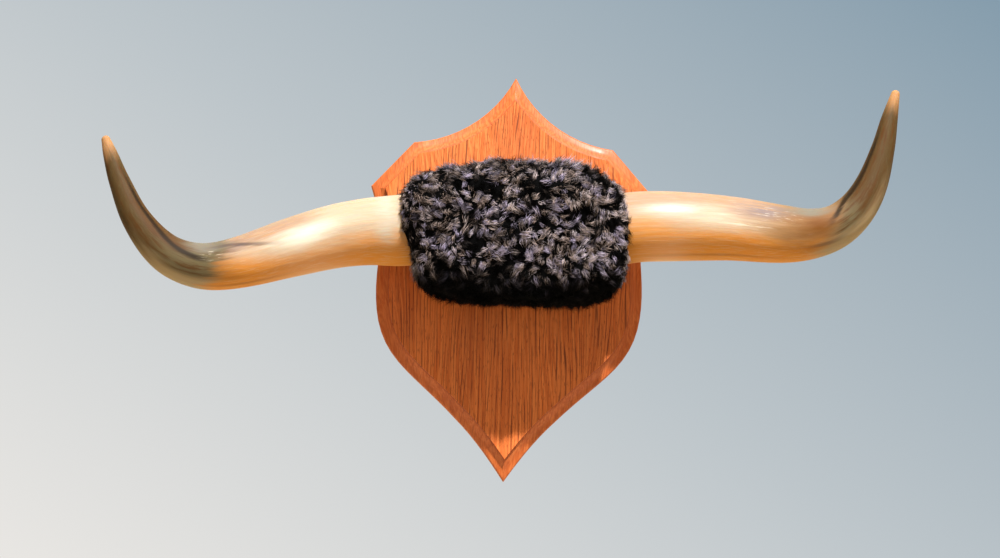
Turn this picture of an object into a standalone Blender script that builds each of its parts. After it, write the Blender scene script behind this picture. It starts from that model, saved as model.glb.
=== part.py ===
"""Mounted steer horns: a pair of horns on a wooden block, wrapped in black fur, on a shield plaque.

Metres, +Z up. The plaque's back face is the plane y = 0 and the front faces -Y, so -X is the
left horn. The origin is the point of the keyhole slot in which the wall screw's shank rests.
Heights in the values below are measured from the line of the horns' bases, which lies
HANG_DROP under the origin.
"""
import math
import random

import bmesh
import bpy
from mathutils import Matrix, Vector
from mathutils.bvhtree import BVHTree
from mathutils.geometry import interpolate_bezier, intersect_line_line_2d

NAME = "mounted_steer_horns"
GAP = 0.0003
CUT_SPARE = 0.002
MERGE = 0.00001
HANG_DROP = 0.112

# Shield plaque: the right half of its outline as (x, height), from the top tip to the bottom tip
BOARD_THICKNESS = 0.020
TOP_TIP = (0.0, 0.190)
SHOULDER = (0.1188, 0.1075)
WING = (0.168, 0.053)
WAIST = (0.1545, -0.002)
BELLY = (0.158, -0.066)
TAIL = (0.057, -0.2215)
BOTTOM_TIP = (0.0, -0.292)
TOP_ARC = [(TOP_TIP, (0.0224, 0.144), (0.0675, 0.1125), SHOULDER)]
EAR = [(SHOULDER, SHOULDER, WING, WING)]
FLANK = [
    (WING, (0.1617, 0.032), (0.1545, 0.018), WAIST),
    (WAIST, (0.1545, -0.024), (0.158, -0.044), BELLY),
    (BELLY, (0.158, -0.151), (0.118, -0.159), TAIL),
    (TAIL, (0.0366, -0.2405), (0.0157, -0.2688), BOTTOM_TIP),
]
SIDE_STEPS = (11, 2, 30)
CURVE_SAMPLES = 48

# Moulded edge, from the back of the board inwards, as (distance in from the edge, height off the wall)
EDGE_PROFILE = [
    (0.0, 0.0),
    (0.0, 0.0085),
    (0.0013, 0.0100),
    (0.0055, 0.0110),
    (0.0095, 0.0131),
    (0.0132, 0.0165),
    (0.0146, 0.0170),
    (0.0150, BOARD_THICKNESS),
]

# Keyhole slot in the back, for the head of a No. 8 round-head screw
KEY_ENTRY_RADIUS = 0.0060
KEY_NECK_WIDTH = 0.0060
KEY_NECK_LENGTH = 0.016
KEY_NECK_DEPTH = 0.0105
KEY_LIP = 0.0045
KEY_DEPTH = 0.0115

# Wooden block with round tenons for the horns
BLOCK_HALF_LENGTH = 0.060
BLOCK_HALF_HEIGHT = 0.034
BLOCK_FRONT = 0.106
HORN_AXIS_OUT = 0.072
TENON_RADIUS = 0.025
TENON_REACH = 0.112

# Wood screws through the board into the block
SCREW_OFFSET = 0.030
SCREW_SHANK_RADIUS = 0.0025
SCREW_HEAD_RADIUS = 0.0048
SCREW_HEAD_HEIGHT = 0.0032
SCREW_SINK = 0.0008
SCREW_LENGTH = 0.060
SCREW_POINT = 0.006
SCREW_SIDES = 16

# Horns as (x, distance off the wall, height, radius), from the base to the tip
LEFT_HORN = [
    (-0.0603, 0.0720, 0.000, 0.0415),
    (-0.0950, 0.0720, 0.000, 0.0420),
    (-0.1300, 0.0770, -0.007, 0.0415),
    (-0.1700, 0.0820, -0.011, 0.0388),
    (-0.2100, 0.0860, -0.019, 0.0366),
    (-0.2570, 0.0920, -0.034, 0.0338),
    (-0.3190, 0.0990, -0.055, 0.0291),
    (-0.3600, 0.1025, -0.060, 0.0260),
    (-0.3980, 0.1060, -0.047, 0.0222),
    (-0.4320, 0.1060, -0.011, 0.0169),
    (-0.4550, 0.1020, 0.034, 0.0120),
    (-0.4670, 0.1000, 0.065, 0.0083),
    (-0.4725, 0.0990, 0.080, 0.0058),
    (-0.4740, 0.0990, 0.086, 0.0022),
]
RIGHT_HORN = [
    (0.0603, 0.0720, 0.000, 0.0415),
    (0.0950, 0.0720, 0.000, 0.0420),
    (0.1410, 0.0780, 0.007, 0.0413),
    (0.1860, 0.0830, 0.009, 0.0405),
    (0.2480, 0.0910, 0.008, 0.0373),
    (0.3100, 0.0980, 0.003, 0.0336),
    (0.3410, 0.1010, 0.004, 0.0297),
    (0.3700, 0.1040, 0.013, 0.0256),
    (0.3940, 0.1060, 0.034, 0.0221),
    (0.4110, 0.1070, 0.064, 0.0187),
    (0.4240, 0.1070, 0.107, 0.0136),
    (0.4310, 0.1060, 0.141, 0.0098),
    (0.4375, 0.1050, 0.170, 0.0058),
    (0.4392, 0.1050, 0.1757, 0.0022),
]
HORN_STEPS = 3
CHANNEL_STATIONS = 6
HORN_BEVEL_RESOLUTION = 4

# Fur wrap: a rounded bolster under the locks, and the rows of locks that wrap it
FUR_HALF_LENGTH = 0.129
FUR_TOP = 0.071
FUR_BOTTOM = -0.081
FUR_FRONT = 0.144
FUR_SPARE = 0.002
FUR_CELLS = (6, 3, 4)
FUR_ROUNDNESS = 3.6
LEFT_FOOT_IN = 0.018
LEFT_TOP_DROP = 0.012
LOCK_ROW_ANGLES = (-124, -95, -66, -38, -12, 12, 38, 66, 95, 124)
LOCKS_IN_ROW = 7
END_LOCK_ANGLES = (-96, -48, 0, 48, 96)
LOCK_LENGTH = 0.050
LOCK_WIDTH = 0.034
LOCK_THICKNESS = 0.019
LOCK_ROOT_SIZE = 1.12
LOCK_TIP_SIZE = 0.50
LOCK_ROOT_BACK = 0.45
LOCK_LIFT = 0.20
LOCK_STRAY = 0.4
ROW_REACH = 0.9
END_RING = 0.82
LOCK_SEED = 11

# Materials: colour, roughness, metallic
FINISHES = {
    "stained_oak": ((0.56, 0.17, 0.055), 0.42, 0.0),
    "polished_horn": ((0.72, 0.50, 0.28), 0.22, 0.0),
    "black_fur": ((0.018, 0.016, 0.019), 0.85, 0.0),
    "bare_pine": ((0.70, 0.50, 0.30), 0.70, 0.0),
    "zinc_steel": ((0.55, 0.55, 0.56), 0.35, 1.0),
}


def clear_scene():
    for obj in list(bpy.data.objects):
        bpy.data.objects.remove(obj, do_unlink=True)


def new_collection(name):
    group = bpy.data.collections.new(name)
    bpy.context.scene.collection.children.link(group)
    return group


def new_material(name):
    colour, roughness, metallic = FINISHES[name]
    material = bpy.data.materials.new(name)
    material.use_nodes = True
    shader = material.node_tree.nodes["Principled BSDF"]
    shader.inputs["Base Color"].default_value = (*colour, 1.0)
    shader.inputs["Roughness"].default_value = roughness
    shader.inputs["Metallic"].default_value = metallic
    material.diffuse_color = (*colour, 1.0)
    return material


def mesh_object(name, bm, group, material=None):
    """Make an object of a bmesh, hung on the empty at the horns' base line."""
    mesh = bpy.data.meshes.new(name)
    bm.to_mesh(mesh)
    bm.free()
    obj = bpy.data.objects.new(name, mesh)
    group.objects.link(obj)
    obj.parent = bpy.data.objects[NAME]
    if material:
        mesh.materials.append(material)
        mesh.shade_smooth()
        mesh.set_sharp_from_angle(angle=math.radians(32))
    else:
        obj.hide_render = True
        obj.display_type = "WIRE"
    return obj


def combine(obj, other, operation):
    modifier = obj.modifiers.new(operation.lower() + "_" + other.name, "BOOLEAN")
    modifier.operation = operation
    modifier.solver = "EXACT"
    modifier.object = other
    return modifier


def cut(obj, cutter):
    combine(obj, cutter, "DIFFERENCE")


def join(obj, other):
    return combine(obj, other, "UNION")


def box_bmesh(low, high):
    """A box between two corners, each (x, distance off the wall, height)."""
    bm = bmesh.new()
    size = Vector((high[0] - low[0], high[1] - low[1], high[2] - low[2]))
    middle = Vector(((high[0] + low[0]) / 2, -(high[1] + low[1]) / 2, (high[2] + low[2]) / 2))
    bmesh.ops.create_cube(bm, size=1.0, matrix=Matrix.Translation(middle) @ Matrix.Diagonal((*size, 1.0)))
    return bm


def add_cone(bm, start, end, radius_start, radius_end, segments=24):
    """A closed cone or cylinder between two points given as (x, distance off the wall, height)."""
    a = Vector((start[0], -start[1], start[2]))
    b = Vector((end[0], -end[1], end[2]))
    turn = (b - a).to_track_quat("Z", "Y").to_matrix().to_4x4()
    bmesh.ops.create_cone(
        bm, cap_ends=True, segments=segments, radius1=radius_start, radius2=radius_end,
        depth=(b - a).length, matrix=Matrix.Translation((a + b) / 2) @ turn,
    )


def sampled(side):
    """Points along a side made of Bezier stretches."""
    points = []
    for start, handle_a, handle_b, end in side:
        stretch = interpolate_bezier(
            Vector((*start, 0)), Vector((*handle_a, 0)), Vector((*handle_b, 0)), Vector((*end, 0)), CURVE_SAMPLES
        )
        points += [point.to_2d() for point in stretch[bool(points):]]
    return points


def moved_in(points, distance):
    """The same side shifted to the inside of the outline by a distance."""
    shifted = []
    for index, point in enumerate(points):
        before = points[max(index - 1, 0)]
        after = points[min(index + 1, len(points) - 1)]
        along = (after - before).normalized()
        shifted.append(point + Vector((along.y, -along.x)) * distance)
    return shifted


def meet(first, second):
    """Trim two neighbouring sides to the point where they cross."""
    for i in range(len(first) - 1, 0, -1):
        for j in range(len(second) - 1):
            corner = intersect_line_line_2d(first[i - 1], first[i], second[j], second[j + 1])
            if corner:
                return first[:i] + [corner], [corner] + second[j + 1:]
    return first, second


def to_middle(points):
    """Trim a side that starts on the outline's middle line to that line again."""
    for index in range(1, len(points)):
        a, b = points[index - 1], points[index]
        if b.x > 0 >= a.x:
            on_line = a.lerp(b, -a.x / (b.x - a.x))
            return [Vector((0.0, on_line.y))] + points[index:]
    return points


def evenly(points, steps):
    """Points at even distances along a side, its ends included."""
    runs = [(b - a).length for a, b in zip(points, points[1:])]
    total = sum(runs)
    result = []
    index, walked = 0, 0.0
    for step in range(steps + 1):
        target = total * step / steps
        while index < len(runs) - 1 and walked + runs[index] < target:
            walked += runs[index]
            index += 1
        share = min(max((target - walked) / runs[index], 0.0), 1.0)
        result.append(points[index].lerp(points[index + 1], share))
    return result


def outline(distance):
    """The half outline, moved in by a distance, with its corners mitred."""
    sides = [moved_in(sampled(side), distance) for side in (TOP_ARC, EAR, FLANK)]
    if distance:
        sides[0] = to_middle(sides[0])
        sides[2] = to_middle(sides[2][::-1])[::-1]
        sides[0], sides[1] = meet(sides[0], sides[1])
        sides[1], sides[2] = meet(sides[1], sides[2])
    points = []
    for side, steps in zip(sides, SIDE_STEPS):
        points += evenly(side, steps)[bool(points):]
    return points


def make_plaque(group, cutters, oak):
    """The board: half of it lofted from the edge profile, mirrored, then routed and drilled behind."""
    bm = bmesh.new()
    rings = []
    for distance, off_wall in EDGE_PROFILE:
        rings.append([bm.verts.new((point.x, -off_wall, point.y)) for point in outline(distance)])
    for lower, upper in zip(rings, rings[1:]):
        for index in range(len(lower) - 1):
            bm.faces.new((lower[index], upper[index], upper[index + 1], lower[index + 1]))
    bm.faces.new(rings[0])
    bm.faces.new(rings[-1][::-1])
    bmesh.ops.recalc_face_normals(bm, faces=bm.faces)
    board = mesh_object("shield_plaque", bm, group, oak)
    mirror = board.modifiers.new("other_half", "MIRROR")
    mirror.use_axis = (True, False, False)
    mirror.use_clip = True
    mirror.merge_threshold = MERGE
    cut(board, make_keyhole_cutter(cutters))
    cut(board, make_screw_cutter(cutters, "board_screw_holes"))


def make_keyhole_cutter(cutters):
    """Entry bore below, a narrow neck above it and a wider groove behind the neck's lips."""
    neck_top = HANG_DROP
    entry = neck_top - KEY_NECK_LENGTH
    half = KEY_NECK_WIDTH / 2
    bm = bmesh.new()
    add_cone(bm, (0, -CUT_SPARE, entry), (0, KEY_DEPTH, entry), KEY_ENTRY_RADIUS, KEY_ENTRY_RADIUS)
    bore = mesh_object("keyhole_entry", bm, cutters)
    groove_half = KEY_ENTRY_RADIUS - GAP
    for name, width, depths in (
        ("keyhole_neck", half, (-CUT_SPARE, KEY_NECK_DEPTH)),
        ("keyhole_groove", groove_half, (KEY_LIP, KEY_DEPTH)),
    ):
        slot = box_bmesh((-width, depths[0], entry), (width, depths[1], neck_top))
        join(bore, mesh_object(name, slot, cutters))
        round_end = bmesh.new()
        add_cone(round_end, (0, depths[0], neck_top), (0, depths[1], neck_top), width, width)
        join(bore, mesh_object(name + "_end", round_end, cutters))
    return bore


def make_screw_cutter(cutters, name):
    """Clearance holes for both screws, countersunk at the back face of the board."""
    bm = bmesh.new()
    for side in (-1, 1):
        add_screw(bm, side * SCREW_OFFSET, GAP, SCREW_SINK + CUT_SPARE)
    return mesh_object(name, bm, cutters)


def add_screw(bm, x, grow, back):
    """A turned countersunk screw along the depth, grown by a clearance, its head's face moved back."""
    head = SCREW_HEAD_RADIUS + grow
    shank = SCREW_SHANK_RADIUS + grow
    face = SCREW_SINK
    profile = [
        (0.0, face - back),
        (head, face - back),
        (head, face),
        (shank, face + SCREW_HEAD_HEIGHT),
        (shank, SCREW_LENGTH - SCREW_POINT),
        (0.0, SCREW_LENGTH + grow),
    ]
    if not back:
        profile = profile[:1] + profile[2:]
    wires = [bm.verts.new((x + radius, -depth, 0.0)) for radius, depth in profile]
    edges = [bm.edges.new(pair) for pair in zip(wires, wires[1:])]
    bmesh.ops.spin(
        bm, geom=wires + edges, cent=(x, 0, 0), axis=(0, 1, 0), angle=math.tau, steps=SCREW_SIDES, use_merge=True
    )
    bmesh.ops.remove_doubles(bm, verts=bm.verts, dist=MERGE)
    bmesh.ops.recalc_face_normals(bm, faces=bm.faces)


def make_screws(group, steel):
    for side, name in ((-1, "block_screw_left"), (1, "block_screw_right")):
        bm = bmesh.new()
        add_screw(bm, side * SCREW_OFFSET, 0.0, 0.0)
        mesh_object(name, bm, group, steel)


def make_block(group, cutters, pine):
    """The block between the horns' bases, with its two tenons joined on and its screw holes cut."""
    back = BOARD_THICKNESS + GAP
    bm = box_bmesh(
        (-BLOCK_HALF_LENGTH, back, -BLOCK_HALF_HEIGHT), (BLOCK_HALF_LENGTH, BLOCK_FRONT, BLOCK_HALF_HEIGHT)
    )
    block = mesh_object("mount_block", bm, group, pine)
    rod = bmesh.new()
    add_cone(
        rod, (-TENON_REACH, HORN_AXIS_OUT, 0), (TENON_REACH, HORN_AXIS_OUT, 0), TENON_RADIUS, TENON_RADIUS
    )
    join(block, mesh_object("tenon_rod", rod, cutters))
    cut(block, make_screw_cutter(cutters, "block_screw_holes"))


def horn_mesh(name, stations, grow=0.0):
    """A tapered tube through the stations, welded at its caps."""
    curve = bpy.data.curves.new(name, "CURVE")
    curve.dimensions = "3D"
    curve.bevel_depth = stations[0][3]
    curve.bevel_resolution = HORN_BEVEL_RESOLUTION
    curve.use_fill_caps = True
    curve.resolution_u = HORN_STEPS
    spline = curve.splines.new("BEZIER")
    spline.bezier_points.add(len(stations) - 1)
    for point, (x, off_wall, height, radius) in zip(spline.bezier_points, stations):
        point.co = (x, -off_wall, height)
        point.radius = (radius + grow) / stations[0][3]
        point.handle_left_type = "AUTO"
        point.handle_right_type = "AUTO"
    tube = bpy.data.objects.new(name + "_path", curve)
    bpy.context.scene.collection.objects.link(tube)
    bpy.context.view_layer.update()
    evaluated = tube.evaluated_get(bpy.context.evaluated_depsgraph_get())
    mesh = bpy.data.meshes.new_from_object(evaluated)
    bm = bmesh.new()
    bm.from_mesh(mesh)
    bmesh.ops.remove_doubles(bm, verts=bm.verts, dist=MERGE)
    bmesh.ops.recalc_face_normals(bm, faces=bm.faces)
    bpy.data.objects.remove(tube, do_unlink=True)
    bpy.data.meshes.remove(mesh)
    return bm


def make_horn(name, stations, group, cutters, keratin):
    """A horn with the bore in its base that sits on the block's tenon."""
    horn = mesh_object(name, horn_mesh(name, stations), group, keratin)
    side = math.copysign(1.0, stations[0][0])
    bore = bmesh.new()
    add_cone(
        bore, (side * (BLOCK_HALF_LENGTH - CUT_SPARE), HORN_AXIS_OUT, 0),
        (side * (TENON_REACH + GAP), HORN_AXIS_OUT, 0), TENON_RADIUS + GAP, TENON_RADIUS + GAP,
    )
    cut(horn, mesh_object(name + "_bore", bore, cutters))


def cut_along(bm, axis, cells):
    """Divide the faces of a box into equal cells along one axis."""
    edges = [edge for edge in bm.edges if abs(edge.verts[0].co[axis] - edge.verts[1].co[axis]) > 0.5]
    bmesh.ops.subdivide_edges(bm, edges=edges, cuts=cells - 1, use_grid_fill=True)


def bolster_place(unit):
    """Map a point of the box from -1 to 1 to the rounded bolster, its back flat on the board."""
    x, y, z = unit
    p = FUR_ROUNDNESS
    front = max(-y, 0.0)
    shrink = (abs(x) ** p + front ** p + abs(z) ** p) ** (1 / p)
    reach = max(abs(x), front, abs(z))
    scale = reach / shrink if shrink else 1.0
    x, z = x * scale, z * scale
    y = y * scale if y < 0 else y
    back = BOARD_THICKNESS - FUR_SPARE
    depth = (FUR_FRONT - back) / 2
    place = Vector((x * FUR_HALF_LENGTH, -back - depth + y * depth, z * (FUR_TOP if z > 0 else -FUR_BOTTOM)))
    if x < 0:
        place.x += LEFT_FOOT_IN * max(-z, 0.0) ** 2 * abs(x)
        place.z -= LEFT_TOP_DROP * x ** 4 * max(z, 0.0)
    return place


def add_lock(bm, root, normal, comb, size):
    """A flattened drop that lies on the bolster, its thick end sunk in and its tip lifted clear."""
    made = bmesh.ops.create_uvsphere(bm, u_segments=5, v_segments=4, radius=0.5)["verts"]
    side = comb.cross(normal)
    frame = Matrix((side, normal, comb)).transposed()
    start = root - comb * LOCK_LENGTH * LOCK_ROOT_BACK
    for vert in made:
        along = vert.co.z + 0.5
        slim = LOCK_ROOT_SIZE + (LOCK_TIP_SIZE - LOCK_ROOT_SIZE) * along
        lift = LOCK_LIFT * along ** 2
        shaped = Vector((vert.co.x * LOCK_WIDTH * slim, vert.co.y * LOCK_THICKNESS * slim, along * LOCK_LENGTH))
        shaped.y += lift * LOCK_LENGTH
        vert.co = start + frame @ (shaped * size)


def around(angle):
    """The direction from the bolster's middle at an angle above the front, as (towards the front, up)."""
    front, up = math.cos(math.radians(angle)), math.sin(math.radians(angle))
    reach = max(abs(front), abs(up))
    return front / reach, up / reach


def make_locks(skin, cutters, dice):
    """Rows of locks around the bolster and a ring at each end, combed outwards and a little down."""
    spots = []
    for row, angle in enumerate(LOCK_ROW_ANGLES):
        for column in range(LOCKS_IN_ROW):
            # The columns of every other row are half a lock aside, from -1 to 1 along the bolster
            column_place = column + 0.25 + 0.5 * (row % 2) + dice.uniform(-0.12, 0.12)
            front, up = around(angle + dice.uniform(-6, 6))
            spots.append(((column_place / LOCKS_IN_ROW * 2 - 1) * ROW_REACH, -front, up))
    for end in (-1, 1):
        for angle in END_LOCK_ANGLES:
            front, up = around(angle)
            spots.append((end, -front * END_RING, up * END_RING))
    surface = BVHTree.FromBMesh(skin)
    middle = Vector((0, -HORN_AXIS_OUT, (FUR_TOP + FUR_BOTTOM) / 2))
    bm = bmesh.new()
    for spot in spots:
        root, normal, _, _ = surface.find_nearest(bolster_place(spot))
        away = (root - middle).normalized()
        comb = away + Vector((dice.uniform(-LOCK_STRAY, LOCK_STRAY), 0.0, dice.uniform(-2 * LOCK_STRAY, 0.1)))
        comb = (comb - normal * comb.dot(normal)).normalized()
        add_lock(bm, root, normal, comb, dice.uniform(0.85, 1.1))
    return mesh_object("fur_locks", bm, cutters)


def make_fur(group, cutters, fur_black):
    """The fur wrap as one body: a bolster with its locks, hollowed for the block and the horns' bases."""
    bm = bmesh.new()
    bmesh.ops.create_cube(bm, size=2.0)
    for axis, cells in enumerate(FUR_CELLS):
        cut_along(bm, axis, cells)
    for vert in bm.verts:
        vert.co = bolster_place(vert.co)
    bm.normal_update()
    locks = make_locks(bm, cutters, random.Random(LOCK_SEED))
    fur = mesh_object("fur_wrap", bm, group, fur_black)
    join(fur, locks).use_self = True
    board = box_bmesh((-WING[0], -GAP, -WING[0]), (WING[0], BOARD_THICKNESS + GAP, WING[0]))
    cut(fur, mesh_object("board_space", board, cutters))
    hollow = box_bmesh(
        (-BLOCK_HALF_LENGTH - GAP, BOARD_THICKNESS - CUT_SPARE, -BLOCK_HALF_HEIGHT - GAP),
        (BLOCK_HALF_LENGTH + GAP, BLOCK_FRONT + GAP, BLOCK_HALF_HEIGHT + GAP),
    )
    cut(fur, mesh_object("block_hollow", hollow, cutters))
    for name, stations in (("left", LEFT_HORN), ("right", RIGHT_HORN)):
        inner = (math.copysign(BLOCK_HALF_LENGTH - CUT_SPARE, stations[0][0]), *stations[0][1:])
        channel = horn_mesh(name + "_channel", [inner] + stations[1:CHANNEL_STATIONS], GAP)
        cut(fur, mesh_object(name + "_horn_channel", channel, cutters))


def main():
    clear_scene()
    parts = new_collection(NAME)
    cutters = new_collection("cutters")
    frame = bpy.data.objects.new(NAME, None)
    frame.location = (0.0, 0.0, -HANG_DROP)
    parts.objects.link(frame)
    finish = {name: new_material(name) for name in FINISHES}
    make_plaque(parts, cutters, finish["stained_oak"])
    make_block(parts, cutters, finish["bare_pine"])
    make_screws(parts, finish["zinc_steel"])
    make_horn("horn_left", LEFT_HORN, parts, cutters, finish["polished_horn"])
    make_horn("horn_right", RIGHT_HORN, parts, cutters, finish["polished_horn"])
    make_fur(parts, cutters, finish["black_fur"])
    bpy.context.view_layer.update()


main()
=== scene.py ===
"""Mounted steer horns: the finish of the plaque, the horns, the fur wrap, the block and the screws.

Metres, +Z up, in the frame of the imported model. The plaque's back is the plane y = 0, the front
faces -Y, and the origin is the point of the keyhole slot that the wall screw carries.
"""
import math
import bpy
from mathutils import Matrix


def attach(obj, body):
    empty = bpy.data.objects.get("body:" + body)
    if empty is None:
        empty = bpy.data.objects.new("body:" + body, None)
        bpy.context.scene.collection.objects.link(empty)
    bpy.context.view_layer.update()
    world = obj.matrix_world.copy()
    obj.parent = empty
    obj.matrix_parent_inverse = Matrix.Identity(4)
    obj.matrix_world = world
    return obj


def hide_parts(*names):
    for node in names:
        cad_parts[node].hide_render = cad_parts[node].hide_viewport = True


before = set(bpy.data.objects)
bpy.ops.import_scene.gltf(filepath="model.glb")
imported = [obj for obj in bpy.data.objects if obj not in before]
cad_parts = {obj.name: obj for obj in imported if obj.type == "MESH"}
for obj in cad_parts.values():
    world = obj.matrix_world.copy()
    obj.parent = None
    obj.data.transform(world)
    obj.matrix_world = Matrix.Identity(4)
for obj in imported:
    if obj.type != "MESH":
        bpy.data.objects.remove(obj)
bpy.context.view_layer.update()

from types import SimpleNamespace

import bmesh
import bpy
import numpy as np
from bpy.props import FloatProperty, FloatVectorProperty, IntProperty, PointerProperty
from mathutils import Matrix, Quaternion, Vector, noise

bl_info = {
    "name": "Mounted steer horns",
    "version": (1, 0, 0),
    "blender": (4, 5, 0),
    "location": "3D View > Sidebar > Horns",
    "description": "Finishes a pair of steer horns with a fur wrap on an oak shield",
    "category": "Object",
}

BODY = "root"

# The horns' base line lies this far under the origin
HANG_DROP = 0.112

# Horns as (x, distance off the wall, height over the base line, radius), from the base to the tip
LEFT_HORN = [
    (-0.0603, 0.0720, 0.000, 0.0415),
    (-0.0950, 0.0720, 0.000, 0.0420),
    (-0.1300, 0.0770, -0.007, 0.0415),
    (-0.1700, 0.0820, -0.011, 0.0388),
    (-0.2100, 0.0860, -0.019, 0.0366),
    (-0.2570, 0.0920, -0.034, 0.0338),
    (-0.3190, 0.0990, -0.055, 0.0291),
    (-0.3600, 0.1025, -0.060, 0.0260),
    (-0.3980, 0.1060, -0.047, 0.0222),
    (-0.4320, 0.1060, -0.011, 0.0169),
    (-0.4550, 0.1020, 0.034, 0.0120),
    (-0.4670, 0.1000, 0.065, 0.0083),
    (-0.4728, 0.0990, 0.081, 0.0052),
]
RIGHT_HORN = [
    (0.0603, 0.0720, 0.000, 0.0415),
    (0.0950, 0.0720, 0.000, 0.0420),
    (0.1410, 0.0780, 0.007, 0.0413),
    (0.1860, 0.0830, 0.009, 0.0405),
    (0.2480, 0.0910, 0.008, 0.0373),
    (0.3100, 0.0980, 0.003, 0.0336),
    (0.3410, 0.1010, 0.004, 0.0297),
    (0.3700, 0.1040, 0.013, 0.0256),
    (0.3940, 0.1060, 0.034, 0.0221),
    (0.4110, 0.1070, 0.064, 0.0187),
    (0.4240, 0.1070, 0.107, 0.0136),
    (0.4310, 0.1060, 0.141, 0.0098),
    (0.4378, 0.1050, 0.171, 0.0052),
]
HORN_SIDES = 56
HORN_STEPS = 9
TIP_RINGS = 6
HORN_SHARP = 50
TENON_RADIUS = 0.025
TENON_REACH = 0.112
FIT_GAP = 0.0003

# Where the marks lie on each horn, as shares of its length or of its side, and how strong they are.
# A pair under _at is a middle and a reach. honey and umber start at one value and are full at the other.
# A path is two places along the horn, and where its line lies across the horn at each of them.
# The pale patch that these marks place on each horn's upper front is a painted highlight, and the grey marks
# on the upper side near the bend are painted sheen.
LEFT_MARKS = SimpleNamespace(
    scraped_at=0.185, scraped=0.9, polish_at=(0.36, 0.15),
    amber_top=0.05, climb=0.40, base_climb=0.0, honey=(0.30, 0.38),
    highlight_patch_at=0.375, highlight_patch_side=0.18, milky_and_highlight=1.0, toffee_from=0.44, toffee=0.15,
    mauve_and_sheen_at=(0.54, 0.07), mauve_and_sheen_side=0.5, mauve_and_sheen=0.8,
    glow_at=(0.565, 0.06), glow=0.60, umber=(0.49, 0.67), edge=0.70,
    olive_from=0.540, olive_to=0.590, olive_lean=0.035, sheen_grey_at=0.61,
    chips_at=(0.59, 0.05), chips_side=0.35, scuffs_at=0.30, scuffs=0.25,
    wisp_path=(0.40, 0.56, 0.15, 0.70), wisp_at=(0.51, 0.12), wisp=0.75,
    seam_path=(0.56, 0.80, 0.15, 0.70), seam_from=0.575,
    rim_at=(0.52, 0.15),
)
RIGHT_MARKS = SimpleNamespace(
    scraped_at=0.16, scraped=0.10, polish_at=(0.235, 0.10),
    amber_top=0.16, climb=0.20, base_climb=0.35, honey=(0.10, 0.14),
    highlight_patch_at=0.34, highlight_patch_side=0.20, milky_and_highlight=0.4, toffee_from=0.40, toffee=0.95,
    mauve_and_sheen_at=(0.460, 0.105), mauve_and_sheen_side=0.62, mauve_and_sheen=1.0,
    glow_at=(0.585, 0.12), glow=1.0, umber=(0.44, 0.64), edge=0.35,
    olive_from=0.595, olive_to=0.665, olive_lean=-0.06, sheen_grey_at=0.58,
    chips_at=(0.48, 0.09), chips_side=0.55, scuffs_at=0.44, scuffs=0.75,
    wisp_path=(0.50, 0.70, -0.6, -0.6), wisp_at=(0.60, 0.06), wisp=0.5,
    seam_path=(0.59, 0.71, 0.10, 0.82), seam_from=0.600,
    rim_at=(0.36, 0.26),
)

# The board's front face and the moulded edge below it, as distances off the wall, the width of the painted
# shade along the step, and its grain
BOARD_FRONT = 0.020
ARRIS_OVER = 28
SAME_PLACE = 0.00001
QUIRK_TOP = 0.0195
QUIRK_BOTTOM = 0.0168
QUIRK_SHADE_BLUR = 0.0022
RINGS_PER_METRE = (265.0, 130.0, 0.0)
GRAIN_DRIFT = 0.008

# The wrap's hide: a sleeve round the block, its middle line this far off the wall
SLEEVE_AXIS = 0.0755
SLEEVE_LEFT = 0.1310
SLEEVE_RIGHT = 0.1280
SLEEVE_TOP = 0.0730
SLEEVE_BOTTOM = -0.0835
SLEEVE_FRONT = 0.1385
SLEEVE_ROUNDNESS = 3.6
SLEEVE_FOOT_ROUNDNESS = 5.5
SLEEVE_END_ROUNDNESS = 3.9
SLEEVE_FRONT_SQUARENESS = 4.5
SLEEVE_LUMPS = 0.0070
SLEEVE_SIDES = 96
SLEEVE_STATIONS = 60
LEFT_FOOT_IN = 0.018
LEFT_TOP_DROP = 0.0075
LEFT_DROP_UNTIL = 0.45
RIGHT_TOP_IN = 0.016
CLOSES_FROM = 0.7
HIDE_CLEARANCE = 0.0012
HIDE_THICKNESS = 0.0010
LUMP_SCALE = 32.0

# The locks of hair: their lie, their light patches, which are partly painted shade, the painted shade at
# their foot, and where hair stays clear of horns and board
COMB_CENTRE = (0.0, -SLEEVE_AXIS, -HANG_DROP + 0.012)
SWIRL_SCALE = 38.0
SWIRL_SHIFTS = (Vector((0.0, 0.0, 0.0)), Vector((31.4, 17.2, 5.9)), Vector((12.7, 41.3, 23.8)))
PATCH_SCALE = 45.0
FOOT_HEIGHT = 0.066
FOOT_SHADE_FADE = 0.024
ROOT_DEPTH = 0.0012
FUR_FRONT = 0.1565
HAIR_REACH = 0.17
HAIR_CLEARANCE = 0.0006
BOARD_CLEARANCE = 0.0009
BARE_EDGE = 0.004
TRIES_PER_LOCK = 12
LOCK_WIDTH = 0.58
END_SHARE = 0.9
END_LENGTH = 0.72
STRAND_PLACES = np.array((0.0, 0.55, 1.0))
STRAND_TAPER = np.array((1.0, 0.80, 0.0))
STRAND_ASIDE = np.array((0.31, 0.87, 0.38))
FUR_PIECES = ("fur_far_left", "fur_left", "fur_middle", "fur_right", "fur_far_right")

# The camera that the photograph was taken with
VIEW_AZIMUTH = -3.0
VIEW_ELEVATION = -6.0
VIEW_ROLL = 1.84
VIEW_DISTANCE = 2.8
VIEW_TARGET = Vector((-0.0142, -0.06, -0.0577 - HANG_DROP))
FOCAL_PIXELS = 2404
IMAGE_WIDTH, IMAGE_HEIGHT = 1000, 558
SENSOR = 36.0

# The floor, and the key light by the azimuth and elevation in degrees that it comes from
FLOOR_RADIUS = 2.4
FLOOR_AHEAD = 0.3
KEY_DIRECTION = (14, 52)
KEY_DISTANCE = 4.0
KEY_TARGET = Vector((0.0, -0.06, -HANG_DROP))


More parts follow.
